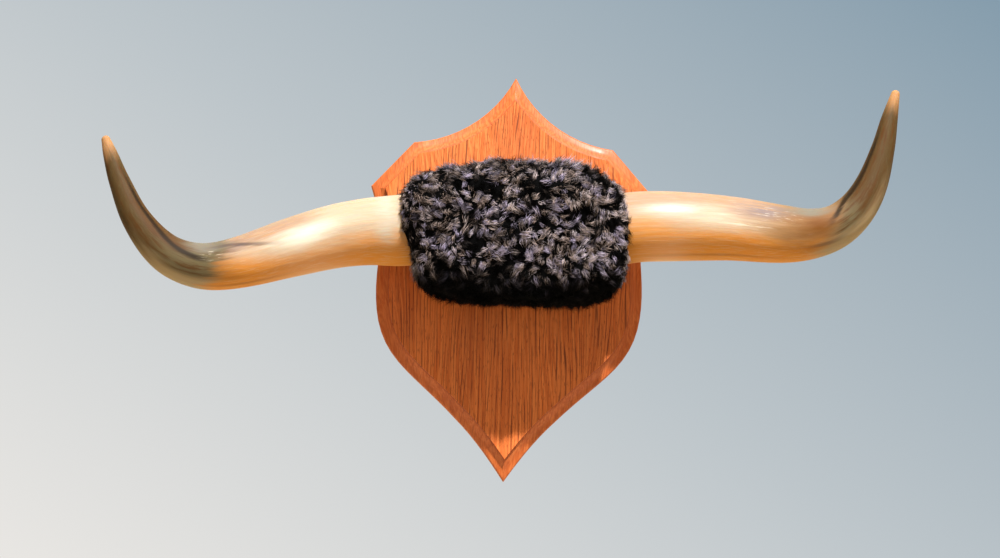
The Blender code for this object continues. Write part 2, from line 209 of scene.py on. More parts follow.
def colour_property(name, description, default):
    return FloatVectorProperty(
        name=name, description=description, subtype="COLOR", size=3, min=0.0, max=1.0, default=default
    )


def length_property(name, description, default, low, high):
    return FloatProperty(
        name=name, description=description, unit="LENGTH", subtype="DISTANCE", precision=4,
        default=default, min=low, max=high,
    )


def share_property(name, description, default):
    return FloatProperty(
        name=name, description=description, subtype="FACTOR", default=default, min=0.0, max=1.0
    )


class PlaqueSettings(bpy.types.PropertyGroup):
    """Sizes and colours of the oak shield."""

    arris: length_property("Arris", "Rounding of the board's sharp edges", 0.0006, 0.0001, 0.002)
    stain: colour_property("Stain", "Main colour of the stained oak", (0.58, 0.128, 0.021))
    stain_light: colour_property("Light grain", "Colour of the hard late wood", (0.73, 0.200, 0.046))
    # This colour also paints the shade along the step and on the moulded edge
    dark_grain_and_shade: colour_property("Dark grain", "Colour of the open early wood", (0.24, 0.040, 0.009))
    pores: colour_property("Pores", "Colour of the stain that sits in the pores", (0.060, 0.009, 0.003))
    bare: colour_property("Bare oak", "Colour of the unstained back", (0.44, 0.27, 0.14))
    lacquer: share_property("Lacquer", "Weight of the clear coat", 0.25)


class HornSettings(bpy.types.PropertyGroup):
    """Colours of the polished horns."""

    cream: colour_property("Cream", "Front side near the base", (0.38, 0.285, 0.195))
    honey: colour_property("Honey", "Upper side near the base", (0.29, 0.180, 0.113))
    # Partly painted glow: the underside's amber also stands in for light shining through the horn
    amber: colour_property("Amber", "Lower side near the base", (0.55, 0.210, 0.032))
    chalk: colour_property("Chalk", "The rough band by the fur", (0.40, 0.330, 0.250))
    # This colour also paints the highlight patch on each horn's upper front
    milky_and_highlight: colour_property("Cloud", "Milky patches and chips", (0.54, 0.480, 0.380))
    toffee: colour_property("Toffee", "Tan part before the bend", (0.235, 0.127, 0.053))
    ember: colour_property("Ember", "Brown glow at the bend", (0.125, 0.044, 0.006))
    # Partly painted sheen: these streaks also stand in for the light's reflection on the upper side
    mauve_and_sheen: colour_property("Mauve", "Greyish streaks on the upper side", (0.17, 0.130, 0.125))
    olive: colour_property("Olive", "Grey-green part past the bend", (0.102, 0.078, 0.038))
    bark: colour_property("Bark", "Brown part towards the tip", (0.066, 0.038, 0.013))
    umber: colour_property("Umber", "Brown streaks towards the tip", (0.066, 0.025, 0.005))
    # Painted sheen on the upper side of the bend
    sheen_grey: colour_property("Ash", "Grey upper side of the bend", (0.145, 0.125, 0.095))
    straw: colour_property("Straw", "Pale lower side of the bend", (0.320, 0.230, 0.125))
    wisp: colour_property("Wisp", "The thin grey streak on the front", (0.060, 0.042, 0.040))
    dark: colour_property("Dark line", "The dark line along the inner side", (0.012, 0.006, 0.002))
    tip: colour_property("Tip", "The worn tip", (0.335, 0.172, 0.073))
    gloss: share_property("Roughness", "Roughness of the polish", 0.42)
    ripple: length_property("Ripple", "Height of the shallow lengthwise ripples", 0.0004, 0.0, 0.002)


class FurSettings(bpy.types.PropertyGroup):
    """Sizes and colours of the fur wrap."""

    lock_length: length_property("Lock length", "Length of a lock of hair", 0.0104, 0.008, 0.03)
    spacing: length_property("Lock spacing", "Distance from lock to lock", 0.0045, 0.003, 0.02)
    strand: length_property("Strand radius", "Radius of a strand at its root", 0.00023, 0.0001, 0.001)
    strands: IntProperty(name="Strands", description="Strands in a lock", default=24, min=6, max=60)
    seed: IntProperty(name="Seed", description="Start of the random draws", default=7, min=0)
    black: colour_property("Black", "Roots and darkest locks", (0.0006, 0.0005, 0.0005))
    brown: colour_property("Brown", "Sun-worn locks", (0.700, 0.520, 0.450))
    grey: colour_property("Grey", "Light locks", (0.760, 0.650, 0.660))
    violet: colour_property("Violet", "Cool locks", (0.560, 0.480, 0.660))
    hide: colour_property("Hide", "The hide under the hair", (0.0004, 0.0004, 0.0004))


class FastenerSettings(bpy.types.PropertyGroup):
    """Colours of the block and the screws."""

    pine: colour_property("Pine", "The bare block", (0.62, 0.42, 0.22))
    pine_dark: colour_property("Late wood", "The block's darker rings", (0.40, 0.21, 0.09))
    zinc: colour_property("Zinc", "The screws", (0.55, 0.56, 0.58))


class StageSettings(bpy.types.PropertyGroup):
    """Light, floor and backdrop."""

    floor: colour_property("Floor", "The pale floor", (0.61, 0.55, 0.455))
    floor_drop: length_property("Floor drop", "Distance of the floor under the plaque's top", 1.6, 0.5, 5.0)
    key_power: FloatProperty(name="Key light", description="Its power", unit="POWER", default=445.0)
    key_size: length_property("Key size", "Width of the key light", 0.12, 0.05, 4.0)
    sky: FloatProperty(name="Sky", description="Strength of the soft light from all round", default=0.50)


class Nodes:
    """A node tree, with short calls for its patterns and colours."""

    def __init__(self, tree):
        self.tree = tree

    def put(self, socket, value):
        """Link a node's output to a socket, or set the socket to a value."""
        if isinstance(value, bpy.types.NodeSocket):
            self.tree.links.new(value, socket)
        elif hasattr(value, "__len__"):
            values = tuple(value)
            if len(socket.default_value) == 4 and len(values) == 3:
                values += (1.0,)
            socket.default_value = values
        else:
            socket.default_value = value

    def node(self, kind, inputs=(), **settings):
        made = self.tree.nodes.new("ShaderNode" + kind)
        for key, value in settings.items():
            setattr(made, key, value)
        for key, value in dict(inputs).items():
            self.put(made.inputs[key], value)
        return made

    def split(self, vector):
        return self.node("SeparateXYZ", {0: vector}).outputs[:3]

    def noise(self, vector, scale, detail=2, rough=0.55):
        """Noise whose scale is given as cells per metre along each axis."""
        stretched = self.node("Mapping", {"Vector": vector, "Scale": scale}).outputs[0]
        inputs = {"Vector": stretched, "Scale": 1.0, "Detail": detail, "Roughness": rough}
        return self.node("TexNoise", inputs).outputs[0]

    def math(self, operation, a, b=0.0):
        return self.node("Math", {0: a, 1: b}, operation=operation).outputs[0]

    def apart(self, a, b):
        return self.math("ABSOLUTE", self.math("SUBTRACT", a, b))

    def steps(self, value, low, high, start=0.0, end=1.0, kind="SMOOTHSTEP"):
        """A rise from start at low to end at high."""
        inputs = {"Value": value, "From Min": low, "From Max": high, "To Min": start, "To Max": end}
        return self.node("MapRange", inputs, interpolation_type=kind).outputs[0]

    def band(self, value, middle, width):
        """1 at the middle, falling smoothly to 0 at a distance of width."""
        return self.steps(self.apart(value, middle), 0.0, width, 1.0, 0.0)

    def product(self, *values):
        result = values[0]
        for value in values[1:]:
            result = self.math("MULTIPLY", result, value)
        return result

    def sway(self, value, pattern, amount):
        """A value shifted by a noise pattern, up to half the amount each way."""
        shift = self.math("MULTIPLY", self.math("SUBTRACT", pattern, 0.5), amount)
        return self.math("ADD", value, shift)

    def mix(self, share, a, b):
        made = self.node("Mix", {0: share, 6: a, 7: b}, data_type="RGBA", clamp_factor=True)
        return made.outputs[2]

    def layer(self, under, colour, *shares):
        """A colour laid over another where all the shares are high."""
        return self.mix(self.product(*shares), under, colour)

    def ramp(self, value, *stops):
        """Colours along a value, given as (value, colour) pairs."""
        made = self.node("ValToRGB", {0: value})
        elements = made.color_ramp.elements
        for index, (at, colour) in enumerate(stops):
            stop = elements[index] if index < 2 else elements.new(at)
            stop.position = at
            stop.color = (*colour, 1.0)
        return made.outputs[0]


class Finish(Nodes):
    """A material, with short calls for its surface and relief."""

    def __init__(self, name):
        self.material = bpy.data.materials.new(name)
        self.material.use_nodes = True
        super().__init__(self.material.node_tree)
        self.shader = self.tree.nodes["Principled BSDF"]
        self.colour = (0.0, 0.0, 0.0)

    def surface(self, **values):
        """Set or link the shader's inputs, named with _ for a blank."""
        for key, value in values.items():
            self.put(self.shader.inputs[key.replace("_", " ")], value)

    def lay(self, colour, *shares):
        """Lay a colour over the finish's colour so far, where all the shares are high."""
        self.colour = self.layer(self.colour, colour, *shares)

    def place(self):
        return self.node("TexCoord").outputs["Object"]

    def attribute(self, name):
        return self.node("Attribute", attribute_name=name).outputs["Vector"]

    def relief(self, *layers):
        """Bump layers, each a (height pattern, depth in metres) pair."""
        normal = None
        for height, depth in layers:
            made = self.node("Bump", {"Height": height, "Distance": depth, "Strength": 1.0})
            if normal:
                self.put(made.inputs["Normal"], normal)
            normal = made.outputs[0]
        self.put(self.shader.inputs["Normal"], normal)


def new_object(name, data):
    made = bpy.data.objects.new(name, data)
    bpy.context.scene.collection.objects.link(made)
    return made


def new_piece(name, mesh, slot, material, *nodes):
    """An object of its own that rides on the frame and stands for the named CAD nodes."""
    piece = new_object(name, mesh)
    mesh.materials.append(material)
    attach(piece, BODY)
    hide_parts(*nodes)
    return piece


def smooth_mesh(name, bm, sharp_over=None):
    """The mesh of a bmesh, smooth but for edges over an angle in degrees."""
    mesh = bpy.data.meshes.new(name)
    bm.to_mesh(mesh)
    bm.free()
    mesh.shade_smooth()
    if sharp_over:
        mesh.set_sharp_from_angle(angle=math.radians(sharp_over))
    return mesh


def dress_node(name, material):
    """Give a CAD node that stays in view a finish."""
    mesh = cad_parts[name].data
    mesh.materials.clear()
    mesh.materials.append(material)


def oak_finish(look):
    """Red-brown stained oak with open pores, bare on the back, with painted shade on the moulded edge and
    along the step under the front face.
    """
    oak = Finish("stained_oak")
    place = oak.place()
    off_wall = oak.math("MULTIPLY", oak.split(place)[1], -1.0)
    drift = oak.noise(place, (7, 7, 2.2))
    shift = oak.node("CombineXYZ", {0: oak.math("MULTIPLY", drift, GRAIN_DRIFT)}).outputs[0]
    # The grain's lines wander and spread with the drift
    bent = {0: place, 1: drift, 2: shift}
    board = oak.node("VectorMath", bent, operation="MULTIPLY_ADD").outputs[0]
    rings = oak.noise(board, (75, 60, 1.2), rough=0.5)
    lines = oak.noise(board, (360, 300, 4), rough=0.5)
    fine_lines = oak.noise(board, (900, 800, 9), rough=0.5)
    clouds = oak.noise(place, (14, 14, 7), detail=3)

    oak.colour = oak.mix(oak.steps(fine_lines, 0.38, 0.60), look.stain, look.stain_light)
    oak.lay(look.dark_grain_and_shade, oak.steps(lines, 0.48, 0.60), 0.15)
    oak.lay(look.dark_grain_and_shade, oak.steps(rings, 0.40, 0.62), 0.10)
    on_field = oak.steps(off_wall, QUIRK_BOTTOM, BOARD_FRONT, 0.40, 1.0)
    pores = oak.product(oak_pores(oak, place), on_field)
    oak.lay(look.pores, pores, 0.80)
    oak.lay(look.dark_grain_and_shade, oak.steps(clouds, 0.35, 0.75, 0.0, 0.30))
    # Partly painted shade: a dark line along the step under the front face, stain that gathers in the step
    # and the step's own shade
    quirk_shade = oak.band(off_wall, (QUIRK_TOP + QUIRK_BOTTOM) / 2, QUIRK_SHADE_BLUR)
    # Partly painted shade: the moulded edge below the front face is darkened, partly a darker stain and
    # partly its shade
    oak.lay(look.dark_grain_and_shade, oak.steps(off_wall, 0.0188, 0.0178, 0.0, 0.36))
    oak.lay(look.dark_grain_and_shade, quirk_shade, 0.92)
    worn = oak.product(oak.band(off_wall, BOARD_FRONT, 0.0007), oak.steps(lines, 0.45, 0.7, 0.1, 0.6))
    oak.lay(look.stain_light, worn, oak.steps(off_wall, 0.0194, 0.0199, 1.0, 0.0))
    bare = oak.mix(oak.steps(lines, 0.3, 0.7), look.bare, tuple(0.7 * c for c in look.bare))
    bare = oak.layer(bare, look.dark_grain_and_shade, pores, 0.5)
    back = oak.steps(oak.sway(off_wall, clouds, 0.0006), 0.0002, 0.0006, 1.0, 0.0)
    oak.surface(
        Base_Color=oak.mix(back, oak.colour, bare), Specular_IOR_Level=0.24,
        Roughness=oak.sway(oak.steps(pores, 0.0, 1.0, 0.56, 0.68), lines, 0.08),
        Coat_Weight=look.lacquer, Coat_Roughness=0.26,
    )
    oak.relief((lines, 0.00012), (oak.math("SUBTRACT", 1.0, pores), 0.00022))
    return oak.material


def oak_pores(oak, place):
    """Dark pores along the board's rings, broken and of uneven strength, with short pits between them."""
    wander = oak.noise(place, (16, 6, 2.2), rough=0.5)
    breaks = oak.noise(place, (420, 60, 26))
    jitter = oak.noise(place, (110, 20, 1.8), detail=1, rough=0.5)
    strong = oak.noise(place, (150, 30, 3.5), detail=1, rough=0.5)
    short_pores = oak.noise(place, (1300, 200, 120), detail=1, rough=0.5)
    across = oak.node("VectorMath", {0: place, 1: RINGS_PER_METRE}, operation="DOT_PRODUCT")
    ring_count = oak.sway(oak.sway(across.outputs[1], wander, 13.0), jitter, 2.3)
    from_ring = oak.apart(oak.math("FRACT", ring_count), 0.5)
    open_pores = oak.product(
        oak.steps(from_ring, 0.05, 0.19, 1.0, 0.0), oak.steps(breaks, 0.40, 0.56, 0.10, 1.0),
        oak.steps(strong, 0.30, 0.55, 0.50, 1.0),
    )
    pits = oak.product(oak.steps(short_pores, 0.60, 0.70), 0.7)
    return oak.math("MAXIMUM", open_pores, pits)


class HornFinish(Finish):
    """Polished horn, with the patterns that its colours share.

    The zone attribute holds the share towards the front, the share towards the inner side of the
    bend and the share of the length. The grain attribute holds the place in the horn, laid straight.
    """

    def __init__(self, name):
        super().__init__(name)
        self.front, self.inner, self.along = self.split(self.attribute("zone"))
        self.grain = self.attribute("grain")
        self.broad = self.noise(self.grain, (55, 55, 7), detail=3)
        self.streaks = self.noise(self.grain, (230, 230, 9), detail=4, rough=0.6)
        self.fine = self.noise(self.grain, (900, 900, 24), detail=3, rough=0.6)
        self.upper = self.sway(self.inner, self.broad, 0.7)
        self.far = self.sway(self.sway(self.along, self.streaks, 0.07), self.broad, 0.06)


def horn_base(horn, look, marks):
    """From the fur to the bend: cream over an amber underside that is partly painted glow, with clouds, a
    painted highlight patch, tan, and grey streaks that are partly painted sheen.
    """
    side = horn.sway(horn.upper, horn.streaks, 0.5)
    climb = horn.math(
        "ADD", horn.steps(horn.far, 0.40, 0.56, 0.0, marks.climb),
        horn.steps(horn.far, 0.16, 0.28, marks.base_climb, 0.0),
    )
    climbed = horn.math("SUBTRACT", side, climb)
    # Partly painted glow: the underside's saturated amber is partly the horn's own colour and partly stands
    # in for light shining through the horn
    top = marks.amber_top
    horn.colour = horn.mix(horn.steps(climbed, top - 0.85, top), look.amber, look.cream)
    horn.lay(look.honey, horn.steps(side, 0.10, 0.60), horn.steps(horn.far, *marks.honey))
    horn.lay(look.amber, horn.steps(horn.streaks, 0.50, 0.70), 0.22)
    horn.lay(look.milky_and_highlight, horn.steps(horn.fine, 0.50, 0.64), 0.16)
    # Painted highlight: a pale milky patch on the upper front, where the key light's reflection falls
    horn.lay(
        look.milky_and_highlight, horn.band(horn.far, marks.highlight_patch_at, 0.10),
        horn.band(horn.upper, marks.highlight_patch_side, 0.62), marks.milky_and_highlight,
    )
    horn.lay(
        look.toffee, horn.steps(horn.far, marks.toffee_from, marks.toffee_from + 0.12),
        horn.steps(horn.upper, -0.8, -0.2), marks.toffee,
    )
    # Partly painted sheen: grey streaks on the upper side, where the light's reflection falls on the darker
    # horn
    horn.lay(
        look.mauve_and_sheen, horn.band(horn.far, *marks.mauve_and_sheen_at),
        horn.band(horn.upper, marks.mauve_and_sheen_side, 0.45), horn.steps(horn.streaks, 0.36, 0.56), marks.mauve_and_sheen,
    )
    horn.lay(look.ember, horn.band(horn.far, *marks.glow_at), horn.band(horn.upper, 0.1, 1.2), marks.glow)


def horn_bend(horn, look, marks):
    """Past the bend: olive turning brown, a painted grey sheen above and straw below, with umber streaks and
    edges.
    """
    body = horn.mix(horn.steps(horn.far, 0.64, 0.75), look.olive, look.bark)
    body = horn.layer(body, look.umber, horn.steps(horn.streaks, *marks.umber), 0.85)
    body = horn.layer(body, look.olive, horn.steps(horn.fine, 0.52, 0.66), 0.30)
    body = horn.layer(body, look.straw, horn.steps(horn.upper, -0.35, -0.8), horn.steps(horn.far, 0.82, 0.66))
    lean = horn.math("ADD", horn.far, horn.math("MULTIPLY", horn.upper, marks.olive_lean))
    horn.lay(body, horn.steps(lean, marks.olive_from, marks.olive_to))
    # Painted sheen: the upper side of the bend turns grey where the light's reflection falls
    sheen_grey = horn.steps(horn.upper, 0.35, 0.75)
    horn.lay(look.sheen_grey, sheen_grey, horn.band(horn.far, marks.sheen_grey_at, 0.12))
    horn.lay(
        look.umber, horn.steps(horn.inner, 0.10, 0.45), horn.steps(horn.far, 0.62, 0.69),
        horn.steps(horn.far, 0.90, 0.80), marks.edge,
    )
    horn.lay(
        look.umber, horn.band(horn.sway(horn.inner, horn.streaks, 0.06), -0.88, 0.06),
        horn.steps(horn.front, 0.0, 0.3), horn.band(horn.along, *marks.rim_at), 0.35,
    )


def horn_lines(horn, look, marks):
    """Chips, scuffs, the thin grey streak, the dark line along the inner side and the worn tip."""
    threads = horn.noise(horn.grain, (800, 800, 40))
    horn.lay(
        look.milky_and_highlight, horn.steps(threads, 0.60, 0.68),
        horn.band(horn.along, *marks.chips_at), horn.band(horn.inner, marks.chips_side, 0.40), 0.7,
    )
    horn.lay(
        look.milky_and_highlight, horn.steps(horn.streaks, 0.56, 0.68),
        horn.band(horn.along, marks.scuffs_at, 0.17), horn.band(horn.inner, 0.05, 0.35), marks.scuffs,
    )
    aside = horn.apart(horn.sway(horn.inner, horn.streaks, 0.10), horn.steps(horn.along, *marks.wisp_path))
    horn.lay(
        look.wisp, horn.steps(aside, 0.02, 0.11, 1.0, 0.0), horn.steps(horn.front, 0.0, 0.3),
        horn.band(horn.along, *marks.wisp_at), marks.wisp,
    )
    beside = horn.apart(horn.sway(horn.inner, horn.streaks, 0.12), horn.steps(horn.along, *marks.seam_path))
    horn.lay(
        look.dark, horn.steps(beside, 0.04, 0.20, 1.0, 0.0), horn.steps(horn.front, -0.3, 0.1),
        horn.steps(horn.along, marks.seam_from, marks.seam_from + 0.05),
        horn.steps(horn.along, 0.94, 0.84), horn.steps(horn.streaks, 0.22, 0.42), 0.9,
    )
    horn.lay(look.tip, horn.steps(horn.sway(horn.along, horn.streaks, 0.06), 0.925, 0.990))


def horn_finish(name, look, marks):
    """Polished horn: cream with an amber underside at the base, olive and brown towards the tip."""
    horn = HornFinish(name)
    horn_base(horn, look, marks)
    horn_bend(horn, look, marks)
    horn_lines(horn, look, marks)
    flecks = horn.noise(horn.grain, (420, 420, 60))
    scraped = horn.product(
        horn.band(horn.sway(horn.sway(horn.along, flecks, 0.02), horn.broad, 0.03), marks.scraped_at, 0.035),
        horn.steps(horn.inner, -0.7, -0.1), horn.steps(horn.fine, 0.30, 0.60, 0.35, 1.0), marks.scraped,
    )
    polish = horn.product(
        horn.band(horn.sway(horn.along, horn.broad, 0.08), *marks.polish_at),
        horn.steps(scraped, 0.0, 1.0, 1.0, 0.3),
    )
    horn.lay(look.chalk, scraped, 1.2)
    horn.surface(
        Base_Color=horn.colour, Roughness=horn.sway(0.60, horn.fine, 0.14), Specular_IOR_Level=0.09,
        Coat_Weight=polish, Coat_Roughness=look.gloss,
        Subsurface_Weight=0.25, Subsurface_Radius=(1.0, 0.4, 0.12), Subsurface_Scale=0.010,
    )
    bumps = horn.noise(horn.grain, (130, 130, 45))
    horn.relief((bumps, 0.0005), (horn.streaks, 0.0003), (horn.fine, 0.00006))
    return horn.material


def fur_finish(look):
    """Hair that is black at the root and takes its lock's tint towards the tip; the black roots are partly
    the fur's own colour and partly painted shade in the gaps between locks.
    """
    fur = Finish("black_fur")
    tint, light, along = fur.split(fur.attribute("lock_tone"))
    place = fur.place()
    patches = fur.noise(place, (24, 24, 24))
    shade = fur.sway(tint, patches, 0.5)
    tinted = fur.ramp(shade, (0.12, look.black), (0.38, look.brown), (0.62, look.grey), (0.86, look.violet))
    # The lock's lightness carries the painted shade underneath and at the foot
    colour = fur.layer(look.black, tinted, fur.steps(along, 0.15, 0.75), light)
    ends = fur.noise(place, (700, 700, 700), detail=1)
    fur.surface(Base_Color=colour, Roughness=fur.steps(ends, 0.3, 0.7, 0.42, 0.62), Specular_IOR_Level=0.03)
    return fur.material


def hide_finish(look):
    """The matt black hide at the locks' roots."""
    hide = Finish("fur_hide")
    grain = hide.noise(hide.place(), (420, 420, 420), detail=3)
    colour = hide.mix(grain, look.hide, tuple(2.5 * c for c in look.hide))
    hide.surface(Base_Color=colour, Roughness=0.9, Specular_IOR_Level=0.05)
    hide.relief((grain, 0.0006))
    return hide.material


def pine_finish(look):
    """Bare sawn softwood with its rings along the block."""
    pine = Finish("bare_pine")
    place = pine.place()
    rings = pine.noise(place, (6, 160, 190), detail=3, rough=0.6)
    fibres = pine.noise(place, (30, 900, 900))
    colour = pine.mix(pine.steps(rings, 0.44, 0.60), look.pine, look.pine_dark)
    colour = pine.mix(pine.steps(fibres, 0.5, 0.8, 0.0, 0.4), colour, look.pine_dark)
    pine.surface(Base_Color=colour, Roughness=pine.steps(fibres, 0.2, 0.8, 0.60, 0.82))
    pine.relief((fibres, 0.0002))
    return pine.material


def zinc_finish(look):
    """Zinc-plated screws with a dull bloom."""
    zinc = Finish("zinc_steel")
    place = zinc.place()
    bloom = zinc.noise(place, (700, 700, 700), detail=3)
    turned = zinc.noise(place, (2500, 300, 2500))
    colour = zinc.mix(zinc.steps(bloom, 0.4, 0.7), look.zinc, tuple(0.6 * c for c in look.zinc))
    zinc.surface(Base_Color=colour, Metallic=1.0, Roughness=zinc.steps(bloom, 0.3, 0.7, 0.28, 0.5))
    zinc.relief((turned, 0.00005))
    return zinc.material


def smooth_path(stations, steps):
    """The centre line through a horn's stations, as (place, radius) pairs on one smooth curve."""
    knots = [Vector((x, -off_wall, height - HANG_DROP, radius)) for x, off_wall, height, radius in stations]
    runs = [(b - a).to_3d().length for a, b in zip(knots, knots[1:])]
    slopes = []
    for index in range(len(knots)):
        first, last = max(index - 1, 0), min(index + 1, len(knots) - 1)
        slopes.append((knots[last] - knots[first]) / sum(runs[first:last]))
    path = []
    for index, run in enumerate(runs):
        for step in range(steps):
            t = step / steps
            start = knots[index] * (2 * t ** 3 - 3 * t ** 2 + 1) + slopes[index] * (run * (t - 1) ** 2 * t)
            end = knots[index + 1] * (3 * t ** 2 - 2 * t ** 3) + slopes[index + 1] * (run * (t ** 3 - t ** 2))
            path.append(start + end)
    path.append(knots[-1])
    return [(knot.to_3d(), knot.w) for knot in path]


def rounded_tip(path):
    """Rings of a half sphere past the last station, down to a point."""
    (before, _), (last, radius) = path[-2:]
    ahead = (last - before).normalized()
    for ring in range(1, TIP_RINGS + 1):
        turn = math.pi / 2 * ring / TIP_RINGS
        path.append((last + ahead * radius * math.sin(turn), radius * math.cos(turn)))
    return path


def ring_frames(path):
    """For each place on the path: the way along it and the way across it to the front, without twist."""
    places = [place for place, _ in path]
    along = (places[1] - places[0]).normalized()
    front = Vector((0.0, -1.0, 0.0))
    front = (front - along * front.dot(along)).normalized()
    frames = []
    for index, place in enumerate(places):
        after = places[min(index + 1, len(places) - 1)]
        before = places[max(index - 1, 0)]
        ahead = (after - before).normalized()
        front = along.rotation_difference(ahead) @ front
        along = ahead
        frames.append((along, front))
    return frames


def ripple(direction, walked, phase):
    """Shallow lengthwise ripples and dents of a horn's surface, from -1 to 1."""
    wave = noise.noise(Vector((direction.x * 2.2 + phase, direction.y * 2.2, walked * 14.0)))
    dents = noise.noise(Vector((direction.x * 5.0, direction.y * 5.0 + phase, walked * 45.0)))
    return 0.75 * wave + 0.35 * dents


def extruded_ring(bm, ring):
    """Extrude a ring of vertices and return the new ring in the same order."""
    members = set(ring)
    touching = dict.fromkeys(edge for vert in ring for edge in vert.link_edges)
    edges = [edge for edge in touching if members.issuperset(edge.verts)]
    made = bmesh.ops.extrude_edge_only(bm, edges=edges)["geom"]
    fresh = {vert for vert in made if isinstance(vert, bmesh.types.BMVert)}
    return [next(e.other_vert(vert) for e in vert.link_edges if e.other_vert(vert) in fresh) for vert in ring]


def horn_mesh(name, stations, look):
    """A horn lofted ring by ring, with a rounded tip and the bore that sits on the block's tenon."""
    path = rounded_tip(smooth_path(stations, HORN_STEPS))
    frames = ring_frames(path)
    side = math.copysign(1.0, stations[0][0])
    total = sum((b[0] - a[0]).length for a, b in zip(path, path[1:]))
    bm = bmesh.new()
    zone = bm.verts.layers.float_vector.new("zone")
    grain = bm.verts.layers.float_vector.new("grain")
    ring = bmesh.ops.create_circle(bm, segments=HORN_SIDES, radius=1.0)["verts"]
    circle = [vert.co.copy() for vert in ring]
    walked = 0.0
    for index, ((place, radius), (along, front)) in enumerate(zip(path, frames)):
        if index:
            ring = extruded_ring(bm, ring)
            walked += (place - path[index - 1][0]).length
        inner = along.cross(front) * -side
        for vert, spot in zip(ring, circle):
            swell = look.ripple * ripple(spot, walked, side) * min(radius / stations[0][3], 1.0)
            reach = radius + swell
            vert.co = place + (front * spot.x + inner * spot.y) * reach
            vert[zone] = (spot.x, spot.y, walked / total)
            vert[grain] = (spot.x * reach, spot.y * reach, walked + side)
    bmesh.ops.pointmerge(bm, verts=ring, merge_co=path[-1][0])
    axis = Vector((0.0, path[0][0].y, path[0][0].z))
    for x in (path[0][0].x, side * (TENON_REACH + FIT_GAP)):
        edges = [edge for edge in bm.edges if edge.is_boundary]
        for vert in bmesh.ops.extrude_edge_only(bm, edges=edges)["geom"]:
            if isinstance(vert, bmesh.types.BMVert):
                across = Vector((0.0, vert.co.y - axis.y, vert.co.z - axis.z)).normalized()
                vert.co = axis + across * (TENON_RADIUS + FIT_GAP) + Vector((x, 0.0, 0.0))
    bmesh.ops.holes_fill(bm, edges=[edge for edge in bm.edges if edge.is_boundary], sides=0)
    bmesh.ops.recalc_face_normals(bm, faces=bm.faces)
    return smooth_mesh(name, bm, HORN_SHARP)


def sleeve_section(angle, share):
    """The hide's section at an angle above the front and a share of its half length, as (ahead, up)."""
    ahead, up = math.cos(angle), math.sin(angle)
    depth = SLEEVE_FRONT - SLEEVE_AXIS if ahead > 0 else SLEEVE_AXIS - BOARD_FRONT - 2 * FIT_GAP
    height = SLEEVE_TOP if up > 0 else -SLEEVE_BOTTOM
    p = SLEEVE_ROUNDNESS if up > 0 else SLEEVE_FOOT_ROUNDNESS
    reach = ((abs(ahead) / depth) ** p + (abs(up) / height) ** p) ** (-1 / p)
    q = SLEEVE_END_ROUNDNESS - 0.6 * up + SLEEVE_FRONT_SQUARENESS * max(ahead, 0.0) ** 2
    size = max(1.0 - abs(share) ** q, 0.0) ** (1 / q)
    return ahead * reach * size, up * reach * size


def sleeve_place(angle, share, horn, radius):
    """A point of the hide, kept clear of the horn that it closes in on."""
    ahead, up = sleeve_section(angle, share)
    high, low = max(math.sin(angle), 0.0), max(-math.sin(angle), 0.0)
    if share < 0:
        x = share * (SLEEVE_LEFT - LEFT_FOOT_IN * low)
        up -= LEFT_TOP_DROP * min(-share / LEFT_DROP_UNTIL, 1.0) ** 3 * high
    else:
        x = share * (SLEEVE_RIGHT - RIGHT_TOP_IN * high ** 2)
    lump = noise.noise(Vector((x, ahead, up)) * LUMP_SCALE)
    if ahead > 0:
        lift = 1.0 + SLEEVE_LUMPS / SLEEVE_TOP * lump
        ahead, up = ahead * lift, up * lift
    place = Vector((x, -SLEEVE_AXIS - ahead, up - HANG_DROP))
    across = Vector((0.0, place.y - horn.y, place.z - horn.z))
    clear = radius + HIDE_CLEARANCE
    if abs(share) > CLOSES_FROM and across.length < clear:
        toward = Vector((0.0, -math.cos(angle), math.sin(angle)))
        place = Vector((x, horn.y, horn.z)) + toward * clear
    return place


def sleeve_mesh():
    """The hide: a sleeve that closes in on the horn at each end, lofted along the block.

    Gives the mesh and the places of its vertices, ring by ring.
    """
    paths = {-1: smooth_path(LEFT_HORN, HORN_STEPS), 1: smooth_path(RIGHT_HORN, HORN_STEPS)}
    bm = bmesh.new()
    ring = bmesh.ops.create_circle(bm, segments=SLEEVE_SIDES, radius=1.0)["verts"]
    angles = [math.atan2(vert.co.y, vert.co.x) for vert in ring]
    rings = []
    for station in range(SLEEVE_STATIONS + 1):
        if station:
            ring = extruded_ring(bm, ring)
        turn = math.pi * (station / SLEEVE_STATIONS - 0.5)
        share = math.copysign(abs(math.sin(turn)) ** (2 / SLEEVE_ROUNDNESS), math.sin(turn))
        side, reach = (-1, SLEEVE_LEFT) if share < 0 else (1, SLEEVE_RIGHT)
        horn, radius = horn_at(paths[side], abs(share) * reach)
        for vert, angle in zip(ring, angles):
            vert.co = sleeve_place(angle, share, horn, radius)
        rings.append([tuple(vert.co) for vert in ring])
    bmesh.ops.recalc_face_normals(bm, faces=bm.faces)
    return smooth_mesh("fur_hide", bm), np.array(rings)


def horn_at(path, x):
    """The place and radius of a horn's centre line at a distance from the middle plane."""
    for place, radius in path:
        if abs(place.x) >= x:
            return place, radius
    return path[-1]


def unit(vectors):
    return vectors / np.maximum(np.linalg.norm(vectors, axis=-1, keepdims=True), 1e-9)


def waves(spots, scale, shift=Vector()):
    """Smooth noise from -1 to 1 at each spot."""
    return np.array([noise.noise(Vector(spot) * scale + shift) for spot in spots])


